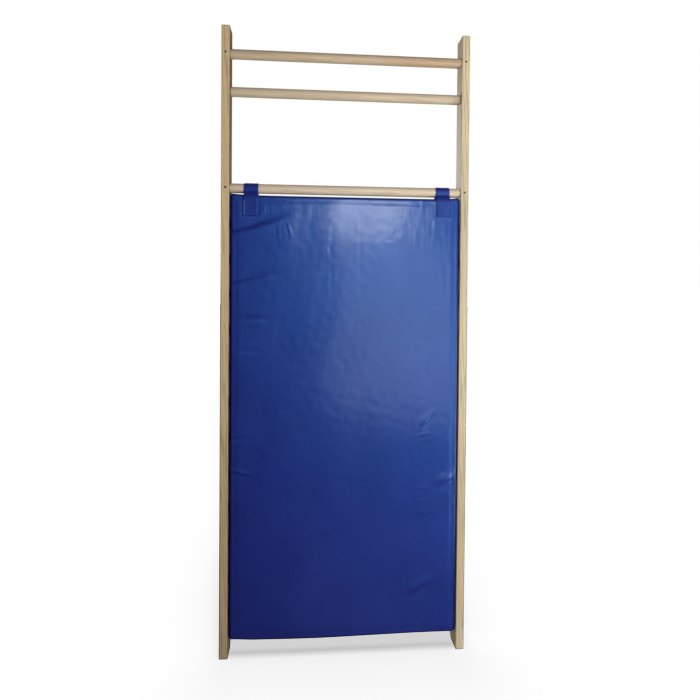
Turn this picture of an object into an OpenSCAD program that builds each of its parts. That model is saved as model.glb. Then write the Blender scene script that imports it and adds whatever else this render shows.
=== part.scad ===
// Wall-bars panel with a padded back board hung from its third rung.
// Two upright boards carry fifteen round rungs. A vinyl-covered foam pad hangs between the
// boards on two straps, rests against the set-back rungs and can be swung out or taken off.
// Millimetres. +Z is up and +Y points to the wall behind. The origin is on the floor, below
// the centre of the whole panel's box.

/* [Uprights] */
// Height of the boards, which is the height of the panel
upright_h = 2300; // [2000:10:2600]
// Thickness of each board, seen from the front
upright_t = 30; // [26:1:40]
// Depth of each board, from its front face to the wall
upright_d = 70; // [66:1:100]
// Overall width of the panel
panel_w = 910; // [800:10:1000]
// Radius of the boards' long edges
board_edge_r = 3; // [1:0.5:6]
// Chamfer round the boards' top and bottom ends
board_end_chamfer = 2; // [1:0.5:4]

/* [Rungs] */
// Diameter of a rung
rung_d = 35; // [30:1:38]
// Diameter of the tenon turned on each rung end
tenon_d = 25; // [20:1:28]
// Length of each tenon
tenon_l = 20; // [16:1:24]
// Height of the top rung's axis
top_rung_z = 2204; // [2100:1:2204]
// Height of the rung that the pad hangs from
pad_rung_z = 1720; // [1700:1:1760]
// Distance between neighbouring rungs, also between the top two
rung_pitch = 130; // [120:1:133]
// Rungs behind the pad
rungs_behind_pad = 12; // [8:1:12]
// Depth of the axis of the top rung and the pad's rung, from the boards' front faces
front_rung_depth = 22; // [20:0.5:24]
// Depth of the axis of all the other rungs, from the boards' front faces
set_back_depth = 38; // [38:0.5:44]

/* [Screws] */
// Diameter of a rung screw's shank
screw_d = 4; // [3:0.5:5]
// Diameter of its countersunk head
screw_head_d = 8; // [7:0.5:9]
// Length of a rung screw
screw_l = 30; // [25:1:32]
// How far the head sits below the board's face
screw_recess = 1.5; // [1:0.1:2]

/* [Pad] */
// Side clearance between the pad and each upright
pad_side_gap = 2; // [1:0.5:6]
// Thickness of the pad
pad_t = 25; // [22:1:30]
// Height of the pad
pad_h = 1630; // [1500:5:1640]
// Gap between the rung above and the pad's top edge
pad_top_gap = 7.5; // [6:0.5:10]
// Radius of the pad's front edges
pad_front_r = 11; // [8:1:12]
// Radius of the pad's back edges
pad_back_r = 6; // [4:1:8]
// Thickness of the vinyl cover
cover_t = 1; // [0.8:0.1:1.4]
// Gap between the pad's back and the rungs it rests on
rest_gap = 0.5; // [0.3:0.1:1]
// Width of the seam allowance between the pad's edge and the back panel
back_inset = 14; // [12:1:20]

/* [Straps] */
// Width of each hanging strap
strap_w = 52; // [40:1:60]
// Thickness of a strap
strap_t = 2; // [1.5:0.1:2.5]
// Distance from the middle of the panel to the left strap
left_strap_x = 347.5; // [300:0.5:380]
// Distance from the middle of the panel to the right strap
right_strap_x = 357.5; // [300:0.5:380]
// Length of the left strap's flap below its bend
left_flap_l = 68; // [60:1:90]
// Length of the right strap's flap below its bend
right_flap_l = 60; // [60:1:90]
// Length of the sewn tail on the pad's back
tail_l = 60; // [40:1:64]
// Thickness of a hook patch or a loop patch
patch_t = 1; // [0.8:0.1:1.2]
// Gap round the rung inside the strap
strap_play = 0.5; // [0.4:0.1:1]

/* [Zip] */
// Length of the zip's chain
zip_l = 760; // [600:10:780]
// Height of the zip's chain above the pad's bottom edge
zip_rise = 42; // [36:1:50]
// Width of the two tapes together
zip_tape_w = 28; // [24:1:32]
// Width of the chain
zip_chain_w = 5; // [4:0.5:6]

/* [Hidden] */
rung_count = rungs_behind_pad + 3;
pad_rung = 3;
function rung_name(i) = str("rung_", i < 10 ? "0" : "", i);

// Colours
board_colour = [0.78, 0.68, 0.52];
rung_colour = [0.84, 0.74, 0.58];
vinyl_colour = [0.13, 0.22, 0.58];
dark_vinyl_colour = [0.10, 0.16, 0.45];
foam_colour = [0.90, 0.88, 0.78];
hook_colour = [0.08, 0.08, 0.10];
steel_colour = [0.25, 0.23, 0.22];
zip_colour = [0.10, 0.10, 0.12];

fit_gap = 0.05;     // glue gap round a tenon, on the radius
body_gap = 0.3;     // least gap between two bodies that move apart
foam_gap = 0.2;     // gap between the foam and the cover round it
overlap = 0.01;     // how far shapes that join run into each other
round_fn = 64;

// Boards and rungs
inner_w = panel_w - 2 * upright_t;
board_x = panel_w / 2 - upright_t / 2;
bore_depth = tenon_l + 1;

// Depths, front to back. The flaps stand proud of everything, and the box is centred on Y = 0.
patch_gap = 0.2;
flap_proud = 2 * patch_t + patch_gap + strap_t;
pad_proud = pad_t - (set_back_depth - rung_d / 2 - rest_gap);
total_d = upright_d + pad_proud + flap_proud;
wall_y = total_d / 2;
face_y = wall_y - upright_d;
pad_front_y = face_y - pad_proud;
pad_back_y = pad_front_y + pad_t;
flap_front_y = pad_front_y - flap_proud;

// Heights
pad_top_z = pad_rung_z - rung_d / 2 - pad_top_gap;
pad_bottom_z = pad_top_z - pad_h;
pad_w = inner_w - 2 * pad_side_gap;
bend_drop = 9;                      // from the pad's top edge down to a strap's bend
bend_z = pad_top_z - bend_drop;     // where a strap turns into its flap
zip_z = pad_bottom_z + zip_rise;

function is_front(i) = i == 1 || i == pad_rung;
function rung_y(i) = face_y + (is_front(i) ? front_rung_depth : set_back_depth);
function rung_z(i) = i < pad_rung
    ? top_rung_z - (i - 1) * rung_pitch
    : pad_rung_z - (i - pad_rung) * rung_pitch;

// Points of an arc from angle a to angle b round [x, y], in n steps
function arc(x, y, r, a, b, n) =
    [for (k = [0 : n]) [x + r * cos(a + (b - a) * k / n), y + r * sin(a + (b - a) * k / n)]];

function reversed(list) = [for (k = [len(list) - 1 : -1 : 0]) list[k]];

// A rectangle centred on the origin with rounded corners
function rounded(w, d, r) = concat(
    arc(w / 2 - r, d / 2 - r, r, 0, 90, 6),
    arc(-w / 2 + r, d / 2 - r, r, 90, 180, 6),
    arc(-w / 2 + r, -d / 2 + r, r, 180, 270, 6),
    arc(w / 2 - r, -d / 2 + r, r, 270, 360, 6));

// The same with flat corners
function chamfered(w, d, c) = [
    [w / 2, d / 2 - c], [w / 2 - c, d / 2], [-w / 2 + c, d / 2], [-w / 2, d / 2 - c],
    [-w / 2, -d / 2 + c], [-w / 2 + c, -d / 2], [w / 2 - c, -d / 2], [w / 2, -d / 2 + c]];

// Extrusions centred on the origin, along X and along Y. A profile's second axis becomes Z.
module along_x(w) rotate([90, 0, 90]) linear_extrude(height = w, center = true) children();
module along_y(d) rotate([90, 0, 0]) linear_extrude(height = d, center = true) children();

// A block given by its two corners
module block(lo, hi) translate(lo) cube([for (k = [0 : 2]) hi[k] - lo[k]]);

// ---- Uprights ----

module board_blank() {
    translate([0, 0, upright_h / 2]) intersection() {
        linear_extrude(height = upright_h, center = true)
            polygon(rounded(upright_t, upright_d, board_edge_r));
        along_y(upright_d + 1) polygon(chamfered(upright_t, upright_h, board_end_chamfer));
        along_x(upright_t + 1) polygon(chamfered(upright_d, upright_h, board_end_chamfer));
    }
}

// A board on the given side, -1 left and 1 right, with blind bores in its inner face
module upright(side) {
    difference() {
        translate([side * board_x, (face_y + wall_y) / 2, 0]) board_blank();
        for (i = [1 : rung_count])
            translate([side * (inner_w / 2 + bore_depth / 2), rung_y(i), rung_z(i)])
                rotate([0, 90, 0])
                    cylinder(h = bore_depth, d = tenon_d + 2 * fit_gap, center = true, $fn = round_fn);
        for (i = [1, pad_rung])
            translate([side * board_x, face_y, rung_z(i)])
                screw_space();
    }
}

module left_upright() color(board_colour) upright(-1);
module right_upright() color(board_colour) upright(1);

// ---- Rungs ----

tenon_chamfer = 1;
rung_end = inner_w / 2 + tenon_l;

// Half a rung's outline, from its axis outwards, with both tenons
rung_half = [
    [rung_d / 2, inner_w / 2], [tenon_d / 2, inner_w / 2],
    [tenon_d / 2, rung_end - tenon_chamfer], [tenon_d / 2 - tenon_chamfer, rung_end],
    [0, rung_end]];
rung_profile = concat([for (p = reversed(rung_half)) [p[0], -p[1]]], rung_half);

module rung(i) color(rung_colour)
    difference() {
        translate([0, rung_y(i), rung_z(i)])
            rotate([0, 90, 0]) rotate_extrude($fn = round_fn) polygon(rung_profile);
        if (is_front(i))
            for (side = [-1, 1])
                translate([side * board_x, face_y, rung_z(i)]) screw_space();
    }

// ---- Rung screws: driven in from the front, through the board's skin and the tenon ----

head_l = (screw_head_d - screw_d) / 2;
tip_l = 4;                          // length of the screw's point
tip_d = 0.6;                        // its diameter at the very end
cross_l = screw_head_d * 0.55;      // the cross slot in the head
cross_w = 1;
cross_depth = 1.2;

// Along +Y from the board's face: counterbore, countersink and pilot hole
module screw_space() rotate([-90, 0, 0]) {
    translate([0, 0, -1])
        cylinder(h = screw_recess + 1, d = screw_head_d + 1, $fn = round_fn);
    translate([0, 0, screw_recess - overlap])
        cylinder(h = head_l + overlap, d1 = screw_head_d, d2 = screw_d, $fn = round_fn);
    cylinder(h = screw_recess + screw_l, d = screw_d, $fn = round_fn);
}

module screw() rotate([-90, 0, 0]) translate([0, 0, screw_recess]) difference() {
    union() {
        cylinder(h = head_l, d1 = screw_head_d, d2 = screw_d, $fn = round_fn);
        translate([0, 0, head_l - overlap])
            cylinder(h = screw_l - head_l - tip_l, d = screw_d, $fn = round_fn);
        translate([0, 0, screw_l - tip_l - 2 * overlap])
            cylinder(h = tip_l, d1 = screw_d, d2 = tip_d, $fn = round_fn);
    }
    for (turn = [0, 90])
        rotate([0, 0, turn]) cube([cross_l, cross_w, 2 * cross_depth], center = true);
}

module rung_screws() color(steel_colour)
    for (i = [1, pad_rung], side = [-1, 1])
        translate([side * board_x, face_y, rung_z(i)]) screw();

// ---- Pad ----

// The pad's section across one pair of edges, from front (low y) to back, drawn in by the
// given distance: the front corners are rounder than the back ones
function pad_section(length, drawn_in) =
    let (half = length / 2 - drawn_in,
         fr = pad_front_r - drawn_in, br = pad_back_r - drawn_in,
         front = pad_front_y + drawn_in, back = pad_back_y - drawn_in)
    concat(
        arc(-half + fr, front + fr, fr, 180, 270, 6),
        arc(half - fr, front + fr, fr, 270, 360, 6),
        arc(half - br, back - br, br, 0, 90, 4),
        arc(-half + br, back - br, br, 90, 180, 4));

// The pad's solid, drawn in by the given distance all round
module slab(drawn_in) {
    middle_z = (pad_bottom_z + pad_top_z) / 2;
    translate([0, 0, middle_z]) intersection() {
        linear_extrude(height = pad_h, center = true) polygon(pad_section(pad_w, drawn_in));
        along_x(pad_w) polygon([for (p = pad_section(pad_h, drawn_in)) [p[1], p[0]]]);
        translate([0, (pad_front_y + pad_back_y) / 2, 0]) along_y(2 * pad_t)
            polygon(rounded(pad_w - 2 * drawn_in, pad_h - 2 * drawn_in, pad_front_r));
    }
}

// The square hole in the cover's back that the back panel is sewn into
module back_window(depth)
    block([-pad_w / 2 + back_inset, pad_back_y - depth, pad_bottom_z + back_inset],
          [pad_w / 2 - back_inset, pad_back_y + 1, pad_top_z - back_inset]);

module foam_core() color(foam_colour) slab(cover_t + foam_gap);

module front_cover() color(vinyl_colour)
    difference() {
        slab(0);
        slab(cover_t);
        back_window(pad_t / 2);
    }

module back_cover() color(dark_vinyl_colour)
    difference() {
        block([-pad_w / 2 + back_inset, pad_back_y - cover_t, pad_bottom_z + back_inset],
              [pad_w / 2 - back_inset, pad_back_y, pad_top_z - back_inset]);
        translate([0, pad_back_y, zip_z])
            cube([zip_l, 4 * cover_t, zip_chain_w], center = true);
    }

// ---- Straps: sewn to the pad's back, over the rung and down to the bend in front ----

rung_y3 = rung_y(pad_rung);
loop_r = rung_d / 2 + strap_play + strap_t / 2;    // radius of the strap's middle line
front_line_y = flap_front_y + strap_t / 2;
back_line_y = pad_back_y + strap_t / 2;
leave_front = [front_line_y, bend_z + 3];
leave_back = [back_line_y, pad_top_z + 1];

// Angle round the rung at which a line from p touches the strap's circle, on either side
function touch(p, side) =
    let (v = p - [rung_y3, pad_rung_z])
    atan2(v[1], v[0]) + side * acos(loop_r / norm(v));

front_angle = touch(leave_front, -1) + 360;
back_angle = touch(leave_back, 1);

// The strap's middle line in the Y-Z plane moved outwards by s
function strap_line(s) = concat(
    [[front_line_y - s, bend_z],
     [front_line_y - s, leave_front[1] + s * tan((180 - front_angle) / 2)]],
    arc(rung_y3, pad_rung_z, loop_r + s, front_angle, back_angle, 24),
    [[back_line_y + s, leave_back[1] - s * tan((90 - abs(back_angle + 90)) / 2)],
     [back_line_y + s, pad_top_z - tail_l]]);

module strap(x)
    translate([x, 0, 0]) along_x(strap_w)
        polygon(concat(strap_line(strap_t / 2), reversed(strap_line(-strap_t / 2))));

module left_strap() color(vinyl_colour) strap(-left_strap_x);
module right_strap() color(vinyl_colour) strap(right_strap_x);

hook_margin = 3;                    // from a flap's edges to its hook patch
loop_margin = 2;                    // the same for the loop patch, which is a little larger
patch_drop = 6;                     // from the bend down to the hook patch

// A plate on the strap's width, between two depths and two heights
module patch(x, margin, y0, y1, z0, z1)
    block([x - strap_w / 2 + margin, y0, z0], [x + strap_w / 2 - margin, y1, z1]);

module flap(x, flap_l)
    patch(x, 0, flap_front_y, flap_front_y + strap_t, bend_z - flap_l, bend_z - body_gap);

module hook_patch(x, flap_l)
    patch(x, hook_margin, flap_front_y + strap_t, flap_front_y + strap_t + patch_t,
          bend_z - flap_l + hook_margin, bend_z - patch_drop);

module loop_patch(x, flap_l)
    patch(x, loop_margin, pad_front_y - patch_t, pad_front_y,
          bend_z - flap_l + loop_margin, bend_z - patch_drop + 1);

module left_flap() color(vinyl_colour) flap(-left_strap_x, left_flap_l);
module right_flap() color(vinyl_colour) flap(right_strap_x, right_flap_l);
module left_hook_patch() color(hook_colour) hook_patch(-left_strap_x, left_flap_l);
module right_hook_patch() color(hook_colour) hook_patch(right_strap_x, right_flap_l);
module left_loop_patch() color(dark_vinyl_colour) loop_patch(-left_strap_x, left_flap_l);
module right_loop_patch() color(dark_vinyl_colour) loop_patch(right_strap_x, right_flap_l);

// ---- Zip: across the pad's back near its bottom edge, so that the foam can be taken out ----

chain_rise = 1.6;                   // how far the chain stands off the pad's back
tape_t = 0.6;
tape_over = 10;                     // how far the tapes run on past each end of the chain
slider_l = 12;
slider_w = zip_chain_w + 4;
slider_top = 3;                     // how far the slider's body stands off the pad's back
slider_x = zip_l / 2 - slider_l / 2 - 4;
pin_r = 0.8;
pin_play = 0.08;                    // gap round the pin inside the pull, on the radius
pin_y = pad_back_y + slider_top + 1.8;
lug_t = 1;
lug_reach = 1.6;                    // from the pin's axis to a lug's edges
barrel_l = slider_w - 2 * lug_t - 2 * body_gap;
barrel_r = 1.5;
pull_l = 24;
pull_t = 1.2;
pull_hole_d = 3;

module zip_tape() color(zip_colour) {
    difference() {
        translate([0, pad_back_y + tape_t / 2, zip_z])
            cube([zip_l + 2 * tape_over, tape_t, zip_tape_w], center = true);
        translate([0, pad_back_y, zip_z]) cube([zip_l, 4, zip_chain_w], center = true);
    }
    block([-zip_l / 2, pad_back_y - cover_t, zip_z - zip_chain_w / 2],
          [zip_l / 2, pad_back_y + chain_rise, zip_z + zip_chain_w / 2]);
}

// The slider straddles the chain. Its two lugs hold the pull's pin.
module zip_slider() color(steel_colour) {
    translate([slider_x, 0, zip_z]) {
        difference() {
            block([-slider_l / 2, pad_back_y + tape_t + body_gap, -slider_w / 2],
                  [slider_l / 2, pad_back_y + slider_top, slider_w / 2]);
            block([-slider_l, pad_back_y, -zip_chain_w / 2 - body_gap],
                  [slider_l, pad_back_y + chain_rise + body_gap, zip_chain_w / 2 + body_gap]);
        }
        for (side = [-1, 1])
            translate([0, 0, side * (slider_w - lug_t) / 2])
                block([-lug_reach, pad_back_y + slider_top, -lug_t / 2],
                      [lug_reach, pin_y + lug_reach, lug_t / 2]);
        translate([0, pin_y, 0]) cylinder(h = slider_w, r = pin_r, center = true, $fn = round_fn);
    }
}

module zip_pull() color(steel_colour)
    translate([slider_x, pin_y, zip_z]) difference() {
        union() {
            cylinder(h = barrel_l, r = barrel_r, center = true, $fn = round_fn);
            block([-pull_l, -pull_t / 2, -barrel_l / 2], [0, pull_t / 2, barrel_l / 2]);
        }
        cylinder(h = barrel_l + 1, r = pin_r + pin_play, center = true, $fn = round_fn);
        translate([-pull_l + pull_hole_d + 1, 0, 0]) rotate([90, 0, 0])
            cylinder(h = 3 * pull_t, d = pull_hole_d, center = true, $fn = round_fn);
    }

left_upright();
right_upright();
for (i = [1 : rung_count]) rung(i);
rung_screws();
foam_core();
front_cover();
back_cover();
left_strap();
right_strap();
left_loop_patch();
right_loop_patch();
left_flap();
right_flap();
left_hook_patch();
right_hook_patch();
zip_tape();
zip_slider();
zip_pull();
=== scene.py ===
import math

import bmesh
import bpy
import numpy as np
from mathutils import Matrix, Vector


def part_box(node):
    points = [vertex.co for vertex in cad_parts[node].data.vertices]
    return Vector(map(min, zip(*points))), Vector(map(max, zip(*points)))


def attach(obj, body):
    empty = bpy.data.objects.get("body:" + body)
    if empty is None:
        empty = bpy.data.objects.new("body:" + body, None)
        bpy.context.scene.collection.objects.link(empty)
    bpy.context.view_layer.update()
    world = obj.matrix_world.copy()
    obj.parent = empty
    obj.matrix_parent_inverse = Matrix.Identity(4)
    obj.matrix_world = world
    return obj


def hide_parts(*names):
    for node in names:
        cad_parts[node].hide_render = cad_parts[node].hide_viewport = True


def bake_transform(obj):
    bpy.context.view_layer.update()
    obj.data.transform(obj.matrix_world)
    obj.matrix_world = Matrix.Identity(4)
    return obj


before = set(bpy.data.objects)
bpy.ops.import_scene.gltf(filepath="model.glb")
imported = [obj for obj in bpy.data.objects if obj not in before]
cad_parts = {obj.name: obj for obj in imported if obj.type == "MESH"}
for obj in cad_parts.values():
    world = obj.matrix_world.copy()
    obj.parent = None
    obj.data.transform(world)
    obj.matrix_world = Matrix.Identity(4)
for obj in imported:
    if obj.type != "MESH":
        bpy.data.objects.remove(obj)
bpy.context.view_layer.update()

MM = 0.001

# ---- Places, all worked out from the frame ----

LEFT_BOARD, RIGHT_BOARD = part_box("left_upright"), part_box("right_upright")
FACE_Y, WALL_Y = LEFT_BOARD[0].y, LEFT_BOARD[1].y
INNER_X = RIGHT_BOARD[0].x
PAD_LO, PAD_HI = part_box("front_cover")
PAD_W, PAD_H = PAD_HI.x - PAD_LO.x, PAD_HI.z - PAD_LO.z
RUNG_NAMES = sorted(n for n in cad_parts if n.startswith("rung_") and n[5:].isdigit())


def rung_axis(name):
    """(y, z) of a rung's axis, and its radius."""
    lo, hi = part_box(name)
    return (lo.y + hi.y) / 2, (lo.z + hi.z) / 2, (hi.z - lo.z) / 2


# ---- Small helpers ----

def smooth(t):
    """Smoothstep of a number or an array."""
    t = np.clip(t, 0, 1)
    return t * t * (3 - 2 * t)


def arc(centre, radius, start, end, steps):
    """Points on an arc in a plane, with the angles in degrees from its first axis towards its second."""
    turns = np.radians(np.linspace(start, end, steps))
    return [(centre[0] + radius * math.cos(t), centre[1] + radius * math.sin(t)) for t in turns]


def spaced(start, end, step, *also):
    """Places from start to end about step apart, and a few more."""
    return list(np.round(np.linspace(start, end, max(2, int(round((end - start) / step)) + 1)), 6)) \
        + [round(a, 6) for a in also]


def from_edges(from_left, width, from_top, height):
    """How far a place is from the nearest edge of a rectangle."""
    return np.minimum(np.minimum(from_left, width - from_left), np.minimum(from_top, height - from_top))


def placed(name, data):
    """A new object in the scene."""
    thing = bpy.data.objects.new(name, data)
    bpy.context.scene.collection.objects.link(thing)
    return thing


def new_mesh(name, points, faces, shade_smooth=True):
    """A new object made of points and of faces that list them."""
    mesh = bpy.data.meshes.new(name)
    mesh.from_pydata([tuple(float(c) for c in p) for p in points], [], [tuple(f) for f in faces])
    mesh.update()
    if shade_smooth:
        mesh.polygons.foreach_set("use_smooth", [True] * len(mesh.polygons))
    return placed(name, mesh)


def vertices(piece):
    """The object's points as an array with three columns."""
    co = np.empty(len(piece.data.vertices) * 3, np.float32)
    piece.data.vertices.foreach_get("co", co)
    return co.reshape(-1, 3).astype(float)


def set_vertices(piece, points):
    """Moves the object's points to those of the array."""
    piece.data.vertices.foreach_set("co", points.astype(np.float32).ravel())
    piece.data.update()


def ring_quads(first, rings, n):
    """The faces between rings of n points each, of which the first ring starts with point first."""
    starts = range(first, first + (rings - 1) * n, n)
    return [(a + k, a + (k + 1) % n, a + n + (k + 1) % n, a + n + k) for a in starts for k in range(n)]


def tube(name, rings):
    """A closed solid through a row of rings of equally many points."""
    n, points = len(rings[0]), [p for ring in rings for p in ring]
    caps = [range(n - 1, -1, -1), range(len(points) - n, len(points))]
    piece = new_mesh(name, points, ring_quads(0, len(rings), n) + caps)
    for end in (-1, -2):
        piece.data.polygons[end].use_smooth = False
    return piece


def join(name, pieces):
    """One object out of several, each keeping its own material and shading."""
    points, faces, slots, flags, materials = [], [], [], [], []
    for piece in pieces:
        first, polygons = len(points), piece.data.polygons
        points += [v.co[:] for v in piece.data.vertices]
        faces += [[first + v for v in p.vertices] for p in polygons]
        slots += [len(materials)] * len(polygons)
        flags += [p.use_smooth for p in polygons]
        materials += list(piece.data.materials)
        bpy.data.objects.remove(piece)
    whole = new_mesh(name, points, faces, False)
    for material in materials:
        whole.data.materials.append(material)
    whole.data.polygons.foreach_set("material_index", slots)
    whole.data.polygons.foreach_set("use_smooth", flags)
    return whole


# ---- Materials ----

def coat(piece, material, slot):
    """Gives a piece its only material. slot, the slot that the material belongs to, is not used."""
    piece.data.materials.clear()
    piece.data.materials.append(material)


def times(colour, factor):
    """A colour made lighter or darker."""
    return tuple(min(1, c * factor) for c in colour)


class Graph:
    """A material's node tree with short ways to add nodes to it."""

    def __init__(self, name):
        self.material = bpy.data.materials.new(name)
        self.material.use_nodes = True
        self.tree = self.material.node_tree
        self.shader = self.tree.nodes["Principled BSDF"]

    def put(self, socket, value):
        """Links a socket to another, or sets it to a plain value."""
        if isinstance(value, bpy.types.NodeSocket):
            self.tree.links.new(value, socket)
        else:
            socket.default_value = (*value, 1) if socket.type == "RGBA" else value

    def add(self, kind, settings=None, **inputs):
        """A new node, with its own settings and with its input sockets by name."""
        node = self.tree.nodes.new("ShaderNode" + kind)
        for key, value in (settings or {}).items():
            setattr(node, key, value)
        for key, value in inputs.items():
            self.put(node.inputs[key], value)
        return node

    def place(self, scale=(1, 1, 1), shift=(0, 0, 0)):
        """The piece's own coordinates in metres, stretched and shifted."""
        found = self.add("TexCoord").outputs["Object"]
        return self.add("Mapping", Vector=found, Location=shift, Scale=scale).outputs[0]

    def noise(self, where, scale, detail=2.0, roughness=0.5, distortion=0.0):
        return self.add("TexNoise", Vector=where, Scale=scale, Detail=detail, Roughness=roughness,
                        Distortion=distortion).outputs["Fac"]

    def stripes(self, where, scale, way):
        return self.add("TexWave", {"bands_direction": way}, Vector=where, Scale=scale).outputs["Fac"]

    def ramp(self, fac, *stops):
        """A colour ramp. Each stop is (place, colour)."""
        node = self.add("ValToRGB", Fac=fac)
        band = node.color_ramp
        while len(band.elements) < len(stops):
            band.elements.new(0.5)
        for element, (at, colour) in zip(band.elements, stops):
            element.position = at
            element.color = (*colour, 1)
        return node.outputs["Color"]

    def spread(self, fac, low, high, lowest=0.0, highest=1.0):
        """fac, from lowest to highest, mapped to low to high."""
        limits = {"From Min": lowest, "From Max": highest, "To Min": low, "To Max": high}
        return self.add("MapRange", {"clamp": True}, Value=fac, **limits).outputs[0]

    def mix(self, fac, a, b, how="MIX"):
        node = self.add("Mix", {"data_type": "RGBA", "blend_type": how, "clamp_factor": True})
        self.put(node.inputs["Factor"], fac)
        self.put(node.inputs[6], a)
        self.put(node.inputs[7], b)
        return node.outputs[2]

    def maths(self, how, a, b=0.0):
        node = self.add("Math", {"operation": how})
        self.put(node.inputs[0], a)
        self.put(node.inputs[1], b)
        return node.outputs[0]

    def bump(self, height, distance, strength=1.0, under=None):
        node = self.add("Bump", Height=height, Distance=distance, Strength=strength)
        if under is not None:
            self.put(node.inputs["Normal"], under)
        return node.outputs["Normal"]

    def finish(self, **sockets):
        """Sets the shader's sockets, named with underscores for spaces, and returns the material."""
        for key, value in sockets.items():
            self.put(self.shader.inputs[key.replace("_", " ")], value)
        return self.material


def linear(r, g, b):
    """A colour given in 0-255 display values, as the shader's linear one."""
    return tuple((c / 255 / 12.92) if c / 255 < 0.04045 else ((c / 255 + 0.055) / 1.055) ** 2.4
                 for c in (r, g, b))


def wood(name, along, mean, light, dark, flush, seed, heights=None, inner=None, heart=None):
    """Planed, lacquered softwood whose grain runs along "x" or "z". light and dark are its stripes' shares
    of the mean colour, and flush the share of green that its reddish patches keep. heights are stops
    heights are stops (z, tone) up a board that dim it: painted light and shade, lighter or darker at each
    height. inner is (side, tone) for the face towards the other board: painted shade that darkens it.
    heart is (from, to) for heartwood that shows towards one end."""
    g = Graph(name)
    light, dark = times(mean, light), times(mean, dark)
    stretch = (0.035, 1, 1) if along == "x" else (1, 1, 0.035)
    slow = (0.25, 1, 1) if along == "x" else (1, 1, 0.25)
    where = g.place(stretch, shift=(seed * 1.7, seed * 0.9, seed * 2.3))
    drift = g.place(slow, shift=(seed * 3.1, seed, seed * 0.7))
    warp = g.noise(where, 14, 3, 0.55)
    rings = g.add("TexWave", {"bands_direction": "DIAGONAL"}, Vector=where, Scale=55.0, Distortion=9.0,
                  Detail=3.0, **{"Detail Scale": 1.2}).outputs["Fac"]
    streaks = g.noise(where, 420, 4, 0.6)
    pores = g.noise(where, 1500, 2, 0.5)
    cloud = g.noise(drift, 5.5, 2, 0.5)
    body = g.ramp(rings, (0.0, light), (0.62, light), (1.0, dark))
    body = g.mix(g.spread(streaks, 0, 0.55, 0.35, 0.75), body, dark)
    body = g.mix(g.spread(cloud, 0, 0.8, 0.5, 0.72), body, (mean[0], mean[1] * flush, mean[2] * 0.85))
    body = g.mix(g.spread(pores, 0, 0.35, 0.62, 0.8), body, times(dark, 0.55))
    # painted light and shade: the colour is dimmed by a tone that changes up the board
    if heights:
        height = g.add("SeparateXYZ", Vector=g.place((1, 1, 1 / heights[-1][0]))).outputs["Z"]
        tone = g.ramp(height, *((z / heights[-1][0], (t, t, t)) for z, t in heights))
        body = g.mix(1.0, body, tone, "MULTIPLY")
    if heart:
        ahead = g.spread(g.add("SeparateXYZ", Vector=g.place()).outputs["X"], 0, 1, *heart)
        ragged = g.spread(g.noise(g.place((2.5, 60, 60)), 1.0, 3, 0.6), 0, 1, 0.35, 0.6)
        redder = (mean[0] * 0.86, mean[1] * 0.68, mean[2] * 0.58)
        body = g.mix(g.maths("MULTIPLY", ahead, ragged), body, redder)
    # painted shade: the face that turns towards the other board is darkened
    if inner:
        side, tone = inner
        facing = g.add("SeparateXYZ", Vector=g.add("TexCoord").outputs["Normal"]).outputs["X"]
        turned = g.spread(facing, 0, 1, 0.5 * side, 0.9 * side)
        body = g.mix(turned, body, g.mix(1.0, body, (tone, tone * 0.96, tone * 0.93), "MULTIPLY"))
    relief = g.maths("ADD", g.maths("MULTIPLY", streaks, 0.7), g.maths("MULTIPLY", pores, 0.3))
    return g.finish(Base_Color=body, Roughness=g.spread(warp, 0.38, 0.56), Specular_IOR_Level=0.25,
                    Normal=g.bump(relief, 0.12 * MM, 0.5))


def vinyl(name, deep, bright, sheen=1.0, gloss=0.52, grain=0.06, rim=0.02, hem=None, streaks=0):
    """Coated cloth: a wide, blue-tinted shine with a narrower gloss over it, a fine embossed grain and
    scuffs. Where the surface turns away from the front, at its rounded edges, the colour is darkened as
    painted shade and the shine is taken away. rim is how much colour and shine those edges keep, hem the
    distances from the middle between which the side edges get the same painted shade and lose their
    shine, and streaks the depth of drawn streaks."""
    g = Graph(name)
    where = g.place()
    patch = g.noise(where, 6, 3, 0.5)
    cells = g.add("TexVoronoi", {"feature": "SMOOTH_F1"}, Vector=where, Scale=900.0).outputs["Distance"]
    fine = g.noise(where, 260, 3, 0.55)
    scuff = g.noise(g.place((1, 1, 0.5)), 16, 3, 0.55)
    relief = g.bump(g.maths("ADD", g.maths("MULTIPLY", cells, 0.6), fine), grain * MM, 0.6)
    if streaks:
        drawn = g.noise(g.place((1, 1, 0.2)), 62, 3, 0.55, 0.3)
        dents = g.noise(where, 13, 2, 0.5)
        relief = g.bump(drawn, streaks, 1.0, g.bump(dents, 3 * streaks, 1.0, relief))
    # painted shade: where the surface turns away from the front, its colour is darkened and its shine
    # taken away
    facing = g.add("SeparateXYZ", Vector=g.add("TexCoord").outputs["Normal"]).outputs["Y"]
    face = g.spread(g.maths("ABSOLUTE", facing), rim, 1, 0.7, 0.97)
    # painted shade on the side edges as well, within the hem distances from the middle
    if hem:
        aside = g.maths("ABSOLUTE", g.add("SeparateXYZ", Vector=where).outputs["X"])
        face = g.maths("MULTIPLY", face, g.spread(aside, 1, rim, *hem))
    body = g.mix(g.spread(patch, 0, 1, 0.35, 0.65), deep, bright)
    return g.finish(Base_Color=g.mix(face, times(deep, 0.2 + 0.8 * rim), body),
                    Roughness=g.spread(scuff, 0.52, 0.58, 0.3, 0.7), IOR=1.65,
                    Specular_IOR_Level=g.maths("MULTIPLY", face, 0.86 * sheen),
                    Specular_Tint=(0.02, 0.40, 1.0), Coat_Weight=g.maths("MULTIPLY", face, gloss),
                    Coat_Roughness=g.spread(scuff, 0.235, 0.27, 0.3, 0.7),
                    Normal=relief, Coat_Normal=relief)


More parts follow.
